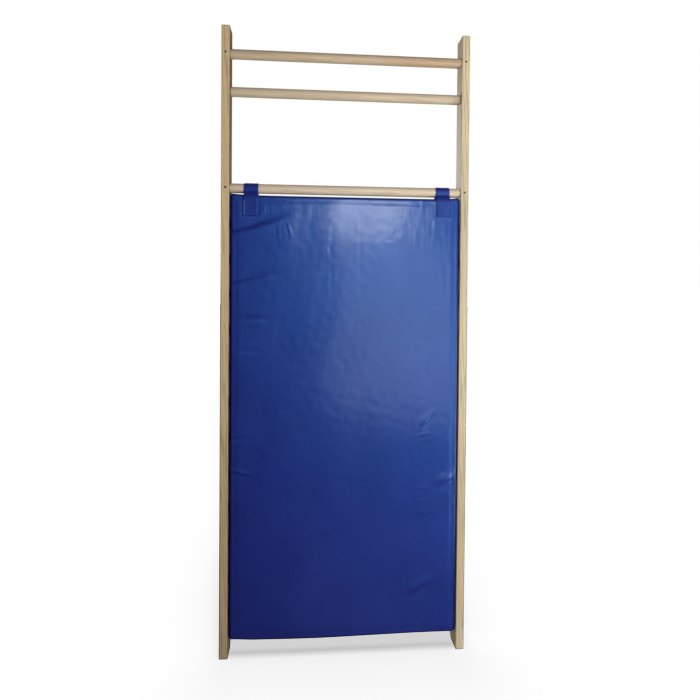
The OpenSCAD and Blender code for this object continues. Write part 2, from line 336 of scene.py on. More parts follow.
def thread(name, colour):
    """Sewing thread or yarn, twisted."""
    g = Graph(name)
    twist = g.stripes(g.place(), 900.0, "DIAGONAL")
    return g.finish(Base_Color=g.mix(twist, times(colour, 0.7), colour), Roughness=0.55,
                    Sheen_Weight=0.2, Normal=g.bump(twist, 0.05 * MM, 0.5))


def woven(name, colour, pitch):
    """Narrow woven tape: a fine over-and-under weave with a little fuzz."""
    g = Graph(name)
    where = g.place()
    cloth = g.maths("MULTIPLY", g.stripes(where, 0.31 / pitch, "X"), g.stripes(where, 0.31 / pitch, "Z"))
    fuzz = g.noise(where, 700, 3, 0.6)
    tone = g.mix(g.spread(cloth, 0, 1), times(colour, 0.6), times(colour, 1.25))
    return g.finish(Base_Color=g.mix(g.spread(fuzz, 0, 0.5, 0.4, 0.8), tone, colour), Roughness=0.8,
                    Sheen_Weight=0.35, Sheen_Roughness=0.5,
                    Normal=g.bump(g.maths("ADD", cloth, g.maths("MULTIPLY", fuzz, 0.4)), 0.12 * MM, 0.8))


def plated(name, colour, roughness):
    """Plated or blackened metal with fine scratches and duller patches."""
    g = Graph(name)
    where = g.place()
    worn = g.noise(where, 240, 4, 0.6)
    lines = g.noise(g.place((1, 1, 14)), 900, 2, 0.5)
    bare = tuple(min(1, c * 1.6 + 0.01) for c in colour)
    tone = g.mix(g.spread(worn, 0, 0.6, 0.45, 0.75), colour, bare)
    dull = g.spread(worn, roughness - 0.08, roughness + 0.16)
    return g.finish(Base_Color=tone, Metallic=0.9, Roughness=dull, Normal=g.bump(lines, 0.02 * MM, 0.4))


# ---- Camera, light and floor ----

def add_camera():
    """A camera just left of the panel's middle, 2 m in front, that looks at it almost squarely."""
    stand = Vector((-0.1429, FACE_Y - 1.9971, 1.3394))
    yaw, pitch, roll = math.radians(-4.507), math.radians(-1.004), math.radians(0.459)
    forward = Vector((-math.sin(yaw) * math.cos(pitch), math.cos(yaw) * math.cos(pitch), math.sin(pitch)))
    level = Vector((math.cos(yaw), math.sin(yaw), 0))
    upright = level.cross(forward)
    right = level * math.cos(roll) + upright * math.sin(roll)
    up = upright * math.cos(roll) - level * math.sin(roll)
    camera = placed("camera", bpy.data.cameras.new("camera"))
    camera.data.lens, camera.data.sensor_width, camera.data.shift_y = 28.03, 36.0, -0.0666
    camera.matrix_world = Matrix.Translation(stand) @ Matrix((right, up, -forward)).transposed().to_4x4()
    bpy.context.scene.camera = camera


def softbox(name, at, target, size, power, lights="object", glossy=True):
    """An area light that falls on the object or on the floor, whichever lights says."""
    data = bpy.data.lights.new(name, "AREA")
    data.shape, data.size, data.size_y = "RECTANGLE", size[0], size[1]
    data.energy = power
    lamp = placed(name, data)
    lamp.location = at
    lamp.rotation_euler = (Vector(target) - Vector(at)).to_track_quat("-Z", "Y").to_euler()
    lamp.visible_camera, lamp.visible_glossy = False, glossy
    chosen = bpy.data.collections.new(f"{name}_falls_on")
    chosen.objects.link(FLOOR)
    chosen.collection_objects[0].light_linking.link_state = "INCLUDE" if lights == "floor" else "EXCLUDE"
    lamp.light_linking.receiver_collection = chosen


def add_light():
    """A white backdrop and a dim room, soft lights on the object, and two that only draw its shadow."""
    scene = bpy.context.scene
    scene.view_settings.view_transform = "Standard"
    world = bpy.data.worlds.new("studio")
    scene.world = world
    world.use_nodes = True
    tree = world.node_tree
    room, backdrop = tree.nodes["Background"], tree.nodes.new("ShaderNodeBackground")
    for node, colour, strength in ((room, (1, 0.97, 0.93, 1), 0.10), (backdrop, (1, 1, 1, 1), 1.0)):
        node.inputs["Color"].default_value, node.inputs["Strength"].default_value = colour, strength
    mix, seen = tree.nodes.new("ShaderNodeMixShader"), tree.nodes.new("ShaderNodeLightPath")
    tree.links.new(seen.outputs["Is Camera Ray"], mix.inputs["Fac"])
    tree.links.new(room.outputs[0], mix.inputs[1])
    tree.links.new(backdrop.outputs[0], mix.inputs[2])
    tree.links.new(mix.outputs[0], tree.nodes["World Output"].inputs["Surface"])
    middle = (0.1, FACE_Y, 1.3)
    softbox("lamp", (0.27, FACE_Y - 1.42, 1.96), middle, (0.53, 0.43), 13.2)
    softbox("near_window", (0.52, FACE_Y - 1.51, 1.14), (0.1, FACE_Y, 1.25), (0.95, 1.13), 10.6)
    softbox("far_window", (2.34, FACE_Y - 1.69, 0.29), middle, (1.23, 1.82), 89.2)
    softbox("left_fill", (-2.6, FACE_Y - 0.25, 1.8), (0.4, FACE_Y, 1.8), (0.8, 1.6), 10, glossy=False)
    softbox("bounce", (0.18, FACE_Y - 0.55, 0.03), (0.18, FACE_Y, 0.6), (0.8, 0.8), 3.0, glossy=False)
    softbox("behind_left", (-1.5, WALL_Y + 2.6, 2.1), (0, 0, 1.1), (1.4, 1.6), 75)
    softbox("behind_right", (1.9, WALL_Y + 2.2, 1.2), (0, 0, 1.1), (1.2, 1.6), 40)
    softbox("ceiling", (0, FACE_Y - 1.4, 9), (0, 0, 0), (1.25, 6), 760, "floor")
    softbox("floor_fill", (-0.14, FACE_Y - 4, 1.3), (0, 0, 0), (0.9, 1.6), 520, "floor")


def add_floor():
    """A wide pale floor that shows only the object's shadow and lights nothing."""
    reach = 60
    corners = [(-reach, -reach, 0), (reach, -reach, 0), (reach, reach, 0), (-reach, reach, 0)]
    floor = new_mesh("floor", corners, [(0, 1, 2, 3)], False)
    g = Graph("floor_paint")
    tone = g.mix(g.noise(g.place(), 9, 3, 0.5), (0.80, 0.80, 0.80), (0.84, 0.84, 0.84))
    floor.data.materials.append(g.finish(Base_Color=tone, Roughness=0.9))
    floor.is_shadow_catcher = True
    floor.visible_glossy = floor.visible_diffuse = False
    return floor


# ---- Wood ----

def finish_boards():
    """The boards' wood: the mean colour, painted light and shade at heights up the board, and painted
    shade on the inner face.
    """
    # each board: its mean colour, (height, tone) stops of painted light and shade, and (side, tone) of
    # painted shade on its inner face
    looks = {
        "left": ((0.585, 0.435, 0.245),
                 [(0, 0.68), (0.5, 0.65), (1.1, 0.78), (1.6, 0.82), (2.3, 0.98)], (1, 0.28)),
        "right": ((0.585, 0.485, 0.312),
                  [(0, 0.80), (0.5, 0.70), (1.1, 0.80), (1.6, 0.68), (2.3, 1.05)], (-1, 0.84)),
    }
    for seed, (side, (mean, heights, inner)) in enumerate(looks.items()):
        look = wood(f"{side}_board_wood", "z", mean, 1.1, 0.72, 0.9, seed + 3, heights, inner)
        coat(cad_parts[f"{side}_upright"], look, "uprights")


def turned_rung(name, look):
    """A rung as a turned piece: finer than the CAD one, with eased shoulders and its two tenons."""
    y, z, radius = rung_axis(name)
    end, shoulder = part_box(name)[1].x, INNER_X - 0.2 * MM
    tenon, ease, sides = 12.4 * MM, 0.8 * MM, 56
    half = [(tenon - 1 * MM, end), (tenon, end - 1 * MM), (tenon, shoulder), (radius - ease, shoulder),
            (radius - 0.25 * ease, INNER_X - ease), (radius, INNER_X - 2.5 * ease),
            (radius, INNER_X - 40 * MM)]
    stations = [(r, -x) for r, x in half] + [(radius, 0.0)] + [(r, x) for r, x in reversed(half)]
    piece = tube(f"{name}_turned", [[(x, *at) for at in arc((y, z), r, 360, 360 / sides, sides)]
                                    for r, x in stations])
    coat(piece, look, "rungs")
    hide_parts(name)
    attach(piece, "frame")


def make_rungs():
    """All the rungs, cut in turn from three lengths of wood, the first with some heartwood."""
    means = [(0.47, 0.37, 0.25), (0.50, 0.405, 0.285), (0.50, 0.405, 0.30)]
    kinds = [wood(f"rung_wood_{k}", "x", mean, 1.05, 0.86, 0.92, 11 + 5 * k,
                  heart=(0.02, 0.25) if k == 0 else None) for k, mean in enumerate(means)]
    for k, name in enumerate(RUNG_NAMES):
        turned_rung(name, kinds[k % len(kinds)])


# ---- The pad ----

FRONT_R, BACK_R = 11 * MM, 6 * MM  # how round the pad's edges are
PAD_CELL = 8 * MM
SWELL_PRESSURE, SWELL_SLACK, SWELL_FRAMES = 2.0, 0.001, 12
PUCKER = 1.1 * MM  # the tallest pucker along the edges
FRONT_SEAM, BACK_SEAM = 13 * MM, 14 * MM  # how far in from the edge each seam runs
CROWN, BACK_SUNK = 1.6, 1.0  # millimetres, as the other heights in sculpt
TALLEST = 6.5

# Folds in the pad's front, in millimetres from its left edge and from its top edge. Each has the points
# that it runs through, its width, and its height, which is negative for a crease.
FOLDS = [
    # pulled in from the left edge
    (((0, 126), (110, 96), (250, 46)), 16, -4.6),
    (((0, 318), (95, 292), (210, 276)), 11, -3.2),
    (((0, 456), (80, 448), (180, 451)), 10, -2.6),
    (((20, 568), (140, 564)), 9, -1.4),
    (((0, 888), (90, 884)), 8, -1.5),
    (((0, 944), (62, 944)), 7, 0.8),
    (((0, 998), (55, 1010), (112, 1024)), 8, 2.0),
    (((0, 1106), (62, 1113)), 7, 0.7),
    (((0, 1162), (45, 1170)), 6, 0.6),
    (((0, 1325), (60, 1340)), 9, 0.6),
    # standing folds beside the long one
    (((176, 104), (177, 170)), 6, 0.6),
    (((206, 98), (216, 130), (226, 172)), 5, 0.8),
    (((124, 30), (125, 80)), 4, 0.5),
    (((137, 34), (138, 78)), 3, 0.5),
    (((148, 30), (149, 74)), 4, 0.4),
    # slanting folds near the right edge
    (((710, 654), (723, 615), (742, 566)), 9, -1.3),
    (((780, 638), (807, 597)), 6, 0.7),
    (((617, 532), (633, 507)), 6, 0.5),
    (((696, 850), (728, 812), (760, 774)), 10, 2.1),
    (((684, 884), (748, 868)), 6, 0.9),
    (((755, 1072), (805, 1036), (846, 1000)), 18, 3.4),
    (((686, 1080), (750, 1070)), 6, 0.8),
    (((692, 1119), (730, 1109)), 6, -0.6),
    (((636, 1482), (706, 1434), (780, 1390)), 17, 4.2),
    (((690, 1180), (760, 1150)), 14, 1.3),
    # standing creases below the right strap and along the top
    (((738, 55), (738, 160)), 8, -0.35),
    (((678, 90), (681, 245)), 8, 0.35),
    (((692, 34), (692, 66)), 4, 0.3),
    (((656, 190), (657, 245)), 5, -0.35),
    (((713, 286), (717, 308)), 5, 0.35),
    (((683, 414), (689, 428)), 5, -0.6),
    (((613, 66), (624, 78)), 6, 0.5),
    (((612, 106), (626, 114)), 5, -0.4),
    (((556, 158), (604, 156)), 5, -0.25),
    (((600, 118), (601, 142)), 4, -0.5),
    (((366, 60), (369, 560)), 7, -0.16),
    (((471, 14), (474, 450)), 8, -0.22),
    (((358, 176), (364, 216)), 5, -0.5),
    (((790, 200), (796, 420)), 7, -0.5),
]


def slab(name, lo, hi):
    """A closed slab with rounded edges, rounder in front than behind, as an even grid of quads."""
    size = hi - lo
    count = [max(4, round(s / PAD_CELL)) for s in size]
    ids, points, faces = {}, [], []

    def corner(at):
        if at not in ids:
            ids[at] = len(points)
            points.append([lo[k] + size[k] * at[k] / count[k] for k in range(3)])
        return ids[at]

    for axis, (a, b) in enumerate(((1, 2), (2, 0), (0, 1))):
        for end in (0, 1):
            for u in range(count[a]):
                for v in range(count[b]):
                    quad = []
                    for du, dv in ((0, 0), (1, 0), (1, 1), (0, 1)):
                        at = [0, 0, 0]
                        at[axis], at[a], at[b] = end * count[axis], u + du, v + dv
                        quad.append(corner(tuple(at)))
                    faces.append(quad if end else quad[::-1])
    p = np.array(points)
    front, back = lo.y + FRONT_R, hi.y - BACK_R
    radius = FRONT_R + (BACK_R - FRONT_R) * np.clip((p[:, 1] - front) / (back - front), 0, 1)
    core = np.stack([np.clip(p[:, 0], lo.x + radius, hi.x - radius),
                     np.clip(p[:, 1], front, back),
                     np.clip(p[:, 2], lo.z + radius, hi.z - radius)], axis=1)
    away = p - core
    length = np.linalg.norm(away, axis=1)[:, None]
    p = np.where(length > 1e-9, core + away / np.maximum(length, 1e-9) * radius[:, None], p)
    return new_mesh(name, p, faces)


def swell(piece):
    """Blows the cover up a little with its back held, and returns how each point moved."""
    rest = vertices(piece)
    held = piece.vertex_groups.new(name="held")
    held.add([int(i) for i in np.nonzero(rest[:, 1] > PAD_HI.y - 3 * MM)[0]], 1.0, "REPLACE")
    cloth = piece.modifiers.new("cloth", "CLOTH")
    s = cloth.settings
    s.quality, s.mass = 5, 0.35
    s.tension_stiffness, s.compression_stiffness, s.shear_stiffness, s.bending_stiffness = 30, 30, 15, 3
    s.use_pressure, s.uniform_pressure_force = True, SWELL_PRESSURE
    s.shrink_min, s.vertex_group_mass = -SWELL_SLACK, "held"
    s.effector_weights.gravity = 0
    cloth.collision_settings.use_collision = False
    cloth.collision_settings.use_self_collision = False
    for step in range(1, SWELL_FRAMES + 1):
        bpy.context.scene.frame_set(step)
    shown = piece.evaluated_get(bpy.context.evaluated_depsgraph_get())
    mesh = shown.to_mesh()
    blown = np.array([v.co for v in mesh.vertices])
    shown.to_mesh_clear()
    piece.modifiers.remove(cloth)
    piece.vertex_groups.clear()
    bpy.context.scene.frame_set(1)
    return blown - rest


def finer(piece, points):
    """The piece's mesh with its points moved, subdivided once."""
    mesh = piece.data.copy()
    mesh.vertices.foreach_set("co", points.astype(np.float32).ravel())
    mesh.update()
    holder = placed("holder", mesh)
    holder.modifiers.new("finer", "SUBSURF").levels = 1
    shown = holder.evaluated_get(bpy.context.evaluated_depsgraph_get())
    result = bpy.data.meshes.new_from_object(shown)
    bpy.data.objects.remove(holder)
    bpy.data.meshes.remove(mesh)
    return result


def waves(x, z, longest, shortest, seed, stretch=1.0, count=28):
    """Smooth random unevenness, mostly between -1 and 1, from plane waves of the given lengths."""
    draw = np.random.default_rng(seed)
    total = np.zeros_like(x)
    for _ in range(count):
        length = shortest * (longest / shortest) ** draw.random()
        turn, phase = draw.random(2) * 2 * math.pi
        total += np.sin(2 * math.pi * (x * math.cos(turn) + z * math.sin(turn) / stretch) / length + phase)
    return total / math.sqrt(count)


def fold_height(x, z, path, width, height):
    """How far one fold lifts each point (x, z), all in millimetres from the pad's top left corner."""
    ends = np.array(path, float)
    middle = ends[1] if len(ends) == 3 else (ends[0] + ends[1]) / 2
    pull = 2 * middle - (ends[0] + ends[-1]) / 2  # the curve runs through the middle point
    steps = np.linspace(0, 1, 15)[:, None]
    curve = (1 - steps) ** 2 * ends[0] + 2 * steps * (1 - steps) * pull + steps ** 2 * ends[-1]
    lift, reach = np.zeros_like(x), 4 * width
    near = ((x > curve[:, 0].min() - reach) & (x < curve[:, 0].max() + reach)
            & (z > curve[:, 1].min() - reach) & (z < curve[:, 1].max() + reach))
    if not near.any():
        return lift
    p = np.stack([x[near], z[near]], axis=1)
    best, along, side = np.full(len(p), np.inf), np.zeros(len(p)), np.zeros(len(p))
    for k in range(len(curve) - 1):
        a, step = curve[k], curve[k + 1] - curve[k]
        t = np.clip(((p - a) @ step) / (step @ step), 0, 1)
        off = p - a - t[:, None] * step
        far = np.linalg.norm(off, axis=1)
        closer = far < best
        best[closer] = far[closer]
        along[closer] = (k + t[closer]) / (len(curve) - 1)
        side[closer] = np.sign(off @ np.array([-step[1], step[0]]))[closer]
    # full height from the start where a fold comes from the edge, else grown; faded at its end
    grown = smooth((1 - along) / 0.6) * (1 if ends[0][0] <= 0 else smooth(along / 0.35))
    # a ridge with a trough below it and a fainter one above
    below = np.where(ends[-1][0] > ends[0][0], 1, -1) * best * side / width
    ridge = np.exp(-below ** 2)
    troughs = 0.6 * np.exp(-((below - 1.45) / 0.9) ** 2) + 0.15 * np.exp(-((below + 1.9) / 1.4) ** 2)
    lift[near] = height * grown * (ridge - troughs)
    return lift


def outline(x, z):
    """How far the pad's top and bottom edges stand above or below straight lines: raised corners at the
    top, and a hem that sags, most of all left of the middle."""
    across = x / (PAD_W / 2)
    top = (6.2 * np.abs(across) ** 9 - 1.2) * smooth((z - (PAD_HI.z - 90 * MM)) / (80 * MM))
    hem = 2.2 + 1.6 * across ** 2 - 3.1 * np.cos(2.6 * (across + 0.36)) * np.exp(-across ** 2)
    hem = hem + 3.5 * smooth((-across - 0.75) / 0.25)
    return (top + hem * smooth((PAD_LO.z + 110 * MM - z) / (100 * MM))) * MM


def blurred(grid, passes):
    """A grid of numbers with each one averaged with its neighbours, again and again."""
    for _ in range(passes):
        p = np.pad(grid, 1, mode="edge")
        grid = (p[:-2, 1:-1] + p[2:, 1:-1] + p[1:-1, :-2] + p[1:-1, 2:] + 4 * grid) / 8
    return grid


def swollen(piece):
    """The coarse pad's points at rest, and again with the puckers that its blown-up cover gets along
    its edges."""
    rest = vertices(piece)
    moved = rest.copy()
    depth = swell(piece)[:, 1]
    front = np.nonzero(rest[:, 1] < PAD_LO.y + 4 * MM)[0]
    columns, rows = round(PAD_W / PAD_CELL), round(PAD_H / PAD_CELL)
    i = np.clip(np.round((rest[front, 0] - PAD_LO.x) / PAD_CELL), 0, columns).astype(int)
    k = np.clip(np.round((rest[front, 2] - PAD_LO.z) / PAD_CELL), 0, rows).astype(int)
    grid = np.zeros((columns + 1, rows + 1))
    grid[i, k] = depth[front]
    pucker = (grid - blurred(grid, 90))[i, k]
    edge = from_edges(i, columns, k, rows) * PAD_CELL
    near_edge = smooth(edge / (20 * MM)) * np.exp(-edge / (75 * MM))
    moved[front, 1] += near_edge * PUCKER * np.tanh(pucker / PUCKER)
    return rest, moved


def sculpt(rest, points):
    """Adds the crown, the folds, the seams and the outline to the fine pad's points."""
    x, z = rest[:, 0], rest[:, 2]
    from_left, from_top = (x - PAD_LO.x) / MM, (PAD_HI.z - z) / MM
    edge = from_edges(from_left, PAD_W / MM, from_top, PAD_H / MM)
    lift = sum(fold_height(from_left, from_top, *fold) for fold in FOLDS)
    lift = lift + 0.55 * waves(x, z, 0.32, 0.12, 5, 1.6) + 0.10 * waves(x, z, 0.07, 0.03, 8)
    top_right = smooth((from_left - 560) / 120) * smooth((420 - from_top) / 260)
    lift = lift + 0.09 * top_right * waves(x, z, 0.045, 0.012, 12, 5.0, 60)
    lift = lift + CROWN * smooth(edge / 170)
    for name in ("left_flap", "right_flap"):  # flat under the flaps
        lo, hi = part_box(name)
        away = np.maximum(np.maximum(lo.x - x, x - hi.x), np.maximum(lo.z - z, z - hi.z))
        lift = lift * smooth(away / (14 * MM))
    seam = np.exp(-((from_top - (PAD_H - FRONT_SEAM) / MM) / 1.8) ** 2)
    lift = np.minimum(lift, TALLEST) - 0.9 * seam * smooth(edge / 3)
    front = smooth((PAD_LO.y + 9 * MM - rest[:, 1]) / (8 * MM))
    back = smooth((rest[:, 1] - (PAD_HI.y - 3 * MM)) / (2 * MM))
    back_seam = np.exp(-((edge - BACK_SEAM / MM) / 2.2) ** 2)
    points = points.copy()
    points[:, 1] -= (lift * front + BACK_SUNK * back + 0.8 * back * back_seam) * MM
    points[:, 2] += outline(x, z)
    return points


def make_pad():
    """The padded cover: a rounded slab blown up by cloth simulation, made finer, then sculpted."""
    coarse = slab("pad_grid", PAD_LO, PAD_HI)
    rest, moved = swollen(coarse)
    even, bent = finer(coarse, rest), finer(coarse, moved)
    flat = np.array([v.co for v in even.vertices])
    full = np.array([v.co for v in bent.vertices])
    bpy.data.meshes.remove(even)
    bpy.data.objects.remove(coarse)
    bent.name = "pad_cover"
    bent.polygons.foreach_set("use_smooth", [True] * len(bent.polygons))
    pad = placed("pad_cover", bent)
    set_vertices(pad, sculpt(flat, full))
    # the cover's side edges are darkened and lose their shine within hem: painted shade
    coat(pad, vinyl("pad_vinyl", (0.0085, 0.003, 0.112), (0.010, 0.006, 0.132),
                    hem=(PAD_HI.x - 14 * MM, PAD_HI.x - 4 * MM), streaks=0.35 * MM), "vinyl")
    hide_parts("front_cover", "foam_core")
    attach(pad, "pad")


# ---- Sewn parts ----

def boxes(name, frames, size, shade_smooth=False):
    """Many small eight-cornered blocks in one mesh. Each frame is (centre, along, across, up)."""
    shape = np.array([(i, j, k) for i in (-.5, .5) for j in (-.5, .5) for k in (-.5, .5)])
    taper = np.where(shape[:, 2:] > 0, 0.6, 1.0)
    quads = [(0, 1, 3, 2), (4, 6, 7, 5), (0, 4, 5, 1), (2, 3, 7, 6), (0, 2, 6, 4), (1, 5, 7, 3)]
    points, faces = [], []
    for frame_axes in frames:
        centre, along, across, up = (np.array(axis) for axis in frame_axes)
        first = len(points)
        for (i, j, k), (t,) in zip(shape * size, taper):
            points.append(centre + along * i * t + across * j * t + up * k)
        faces += [tuple(first + c for c in q) for q in quads]
    return new_mesh(name, points, faces, shade_smooth)


def stitch_line(path, up, pitch, gap=0.35):
    """Frames for a run of stitches along a 3-D path, lying on a surface that faces up."""
    path = np.array(path, float)
    along = np.concatenate([[0], np.cumsum(np.linalg.norm(np.diff(path, axis=0), axis=1))])
    count = max(1, int(along[-1] / pitch))
    frames = []
    for k in range(count):
        a, b = (k + gap / 2) * along[-1] / count, (k + 1 - gap / 2) * along[-1] / count
        p, q = (np.array([np.interp(s, along, path[:, c]) for c in range(3)]) for s in (a, b))
        normal = up((p + q) / 2) if callable(up) else np.array(up, float)
        side = np.cross(normal, q - p)
        frames.append(((p + q) / 2, q - p, side / np.linalg.norm(side), normal))
    return frames


def plate(name, xs, zs, front, back, keep=None):
    """A thin plate on a grid, with the cells left out for which keep(x, z) is false. front and back give
    the depth of each face as functions of x and z."""
    xs, zs = sorted(set(xs)), sorted(set(zs))
    nx, nz = len(xs), len(zs)
    points = [(x, depth(x, z), z) for depth in (front, back) for x in xs for z in zs]

    def at(i, k, side):
        return side * nx * nz + i * nz + k

    on = np.zeros((nx + 1, nz + 1), bool)
    for i in range(nx - 1):
        for k in range(nz - 1):
            on[i, k] = keep is None or keep((xs[i] + xs[i + 1]) / 2, (zs[k] + zs[k + 1]) / 2)
    faces = []
    for i in range(nx - 1):
        for k in range(nz - 1):
            if not on[i, k]:
                continue
            faces.append((at(i, k, 0), at(i + 1, k, 0), at(i + 1, k + 1, 0), at(i, k + 1, 0)))
            faces.append((at(i, k, 1), at(i, k + 1, 1), at(i + 1, k + 1, 1), at(i + 1, k, 1)))
            for di, dk, a, b in ((-1, 0, (i, k + 1), (i, k)), (1, 0, (i + 1, k), (i + 1, k + 1)),
                                 (0, -1, (i, k), (i + 1, k)), (0, 1, (i + 1, k + 1), (i, k + 1))):
                if not on[i + di, k + dk]:
                    faces.append((at(*a, 0), at(*a, 1), at(*b, 1), at(*b, 0)))
    piece = new_mesh(name, points, faces)
    loose = bmesh.new()
    loose.from_mesh(piece.data)
    bmesh.ops.delete(loose, geom=[v for v in loose.verts if not v.link_faces], context="VERTS")
    bmesh.ops.recalc_face_normals(loose, faces=loose.faces)
    loose.to_mesh(piece.data)
    loose.free()
    return piece


# ---- The pad's back and its zip ----

ZIP_LO, ZIP_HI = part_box("zip_tape")
ZIP_Z = (ZIP_LO.z + ZIP_HI.z) / 2
ZIP_END = ZIP_HI.x - 10 * MM  # where the chain ends, on both sides
CHAIN_HALF = 2.6 * MM  # half of the opening in the back panel
TAPE_GAP, TAPE_HALF = 1.3 * MM, 14 * MM  # from the zip's middle to each tape's two edges
TAPE_SEAM = 10.5 * MM
TOOTH_PITCH = 4 * MM


def round_corners(p, mid, half, radius):
    """A flat panel's points, with those of its square corners pulled in to quarter circles."""
    inner_x, inner_z = half.x - radius, half.z - radius
    dx, dz = np.abs(p[:, 0] - mid.x) - inner_x, np.abs(p[:, 2] - mid.z) - inner_z
    far = np.maximum(np.hypot(dx, dz), 1e-9)
    pull = np.where((dx > 0) & (dz > 0), np.maximum(dx, dz) / far, 1.0)
    p[:, 0] = mid.x + np.sign(p[:, 0] - mid.x) * (inner_x + dx * pull)
    p[:, 2] = mid.z + np.sign(p[:, 2] - mid.z) * (inner_z + dz * pull)
    return p


def make_back_panel():
    """The sewn-on back of the cover, with its zipped opening, and the stitches round its edge."""
    lo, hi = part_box("back_cover")
    mid, half = (lo + hi) / 2, (hi - lo) / 2
    corner, hem_edges, seam_inset = 20 * MM, (3 * MM, 6 * MM), 6 * MM

    def hem(x, z):
        edge = from_edges(x - lo.x, hi.x - lo.x, z - lo.z, hi.z - lo.z)
        turned_in = 1 - smooth(edge / (9 * MM))
        return 0.25 * MM * (turned_in - np.exp(-((edge - seam_inset) / (2 * MM)) ** 2))

    def back(x, z):
        ripple = float(waves(np.array([x]), np.array([z]), 0.4, 0.12, 21, count=9)[0])
        return hi.y - 0.45 * MM + 0.14 * MM * ripple + float(hem(x, z))

    def front(x, z):
        return back(x, z) - 0.75 * MM

    def keep(x, z):
        return not (abs(x) < ZIP_END and abs(z - ZIP_Z) < CHAIN_HALF)

    def lines(low, high, *also):
        return spaced(low, high, 14 * MM, *also, *(low + e for e in hem_edges),
                      *(high - e for e in hem_edges))

    panel = plate("pad_back_panel", lines(lo.x, hi.x, -ZIP_END, ZIP_END),
                  lines(lo.z, hi.z, ZIP_Z - CHAIN_HALF, ZIP_Z + CHAIN_HALF), front, back, keep)
    set_vertices(panel, round_corners(vertices(panel), mid, half, corner))
    look = vinyl("back_vinyl", (0.007, 0.006, 0.080), (0.009, 0.008, 0.096), 0.6, 0.2, 0.12)
    coat(panel, look, "back_vinyl")
    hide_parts("back_cover")
    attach(panel, "pad")
    ring, radius = [], corner - seam_inset
    for way_x, way_z, start in ((1, 1, 0), (-1, 1, 90), (-1, -1, 180), (1, -1, 270)):
        centre = (mid.x + way_x * (half.x - corner), mid.z + way_z * (half.z - corner))
        ring += [(x, hi.y - 0.62 * MM, z) for x, z in arc(centre, radius, start, start + 90, 7)]
    ring.append(ring[0])
    seam = boxes("back_panel_stitches", stitch_line(ring, (0, 1, 0), 5 * MM), (1, 0.5 * MM, 0.4 * MM))
    coat(seam, thread("back_thread", linear(18, 30, 96)), "back_vinyl")
    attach(seam, "pad")


def make_zip():
    """Two woven tapes, the interlocked teeth between them, the end stops and the tapes' stitches."""
    back, length = PAD_HI.y, ZIP_END + 10 * MM

    def outer_face(x, z):
        rib = math.exp(-((abs(z - ZIP_Z) - 3.4 * MM) / MM) ** 2)
        return back + 0.45 * MM + 0.12 * MM * rib

    tapes, teeth, seams = [], [], []
    for way in (-1, 1):
        edges = sorted((ZIP_Z + way * TAPE_GAP, ZIP_Z + way * TAPE_HALF))
        tapes.append(plate("tape", spaced(-length, length, 10 * MM), spaced(*edges, 2.4 * MM),
                           lambda x, z: back + 0.02 * MM, outer_face))
    for k in range(int(2 * ZIP_END / TOOTH_PITCH)):
        x = -ZIP_END + (k + 0.5) * TOOTH_PITCH
        for way in (-1, 1):
            at = (x + way * TOOTH_PITCH / 4, back + 0.75 * MM, ZIP_Z + way * 0.9 * MM)
            teeth.append((at, (1.5, 0, 0), (0, 0, 3.1), (0, 1.5, 0)))
    for x in (-ZIP_END + 1 * MM, ZIP_END - 1 * MM):
        teeth.append(((x, back + 0.8 * MM, ZIP_Z), (2.0, 0, 0), (0, 0, 4.6), (0, 1.6, 0)))
    seam_x, seam_y = ZIP_END + 7 * MM, back + 0.5 * MM
    for z in (ZIP_Z - TAPE_SEAM, ZIP_Z + TAPE_SEAM):
        seams += stitch_line([(-seam_x, seam_y, z), (seam_x, seam_y, z)], (0, 1, 0), 4 * MM)
    for x in (-ZIP_END - 6 * MM, ZIP_END + 6 * MM):
        seams += stitch_line([(x, seam_y, ZIP_Z - TAPE_SEAM), (x, seam_y, ZIP_Z + TAPE_SEAM)],
                             (0, 1, 0), 3 * MM)
    chain = boxes("chain", teeth, np.array((1, 1, 1)) * MM)
    sewn = boxes("seams", seams, (1, 0.5 * MM, 0.35 * MM))
    for tape in tapes:
        tape.data.materials.append(woven("zip_weave", (0.010, 0.010, 0.013), 0.7 * MM))
    chain.data.materials.append(plated("zip_teeth", (0.09, 0.085, 0.08), 0.35))
    sewn.data.materials.append(thread("zip_thread", (0.015, 0.02, 0.06)))
    whole = join("zip_chain_and_tapes", tapes + [chain, sewn])
    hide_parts("zip_tape")
    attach(whole, "pad")


def finish_metal():
    """The zip's slider and pull in worn plate, and the rung screws in dull brown steel, edges eased."""
    plate_steel = plated("slider_steel", (0.16, 0.15, 0.145), 0.3), "zip_metal", 0.25 * MM
    screw_steel = plated("screw_steel", (0.11, 0.08, 0.05), 0.5), "screws", 0.3 * MM
    for node, (look, slot, ease) in (("zip_slider", plate_steel), ("zip_pull", plate_steel),
                                     ("rung_screws", screw_steel)):
        coat(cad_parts[node], look, slot)
        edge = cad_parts[node].modifiers.new("eased", "BEVEL")
        edge.width, edge.segments, edge.limit_method = ease, 2, "ANGLE"
        edge.harden_normals = False


# ---- Hook and loop tape ----

YARN_R = 0.12 * MM


def patch_strip(lo, hi, front_y, back_y, weave):
    """The flat woven strip of a hook or loop patch."""
    strip = plate("strip", spaced(lo.x, hi.x, 4 * MM), spaced(lo.z, hi.z, 4 * MM),
                  lambda x, z: front_y, lambda x, z: back_y)
    strip.data.materials.append(weave)
    return strip


def patch_places(lo, hi, margin, pitch):
    """(column, row, x, z) of places pitch apart, all over a patch but for a margin."""
    return [(i, k, lo.x + margin + i * pitch, lo.z + margin + k * pitch)
            for i in range(int((hi.x - lo.x - 2 * margin) / pitch) + 1)
            for k in range(int((hi.z - lo.z - 2 * margin) / pitch) + 1)]


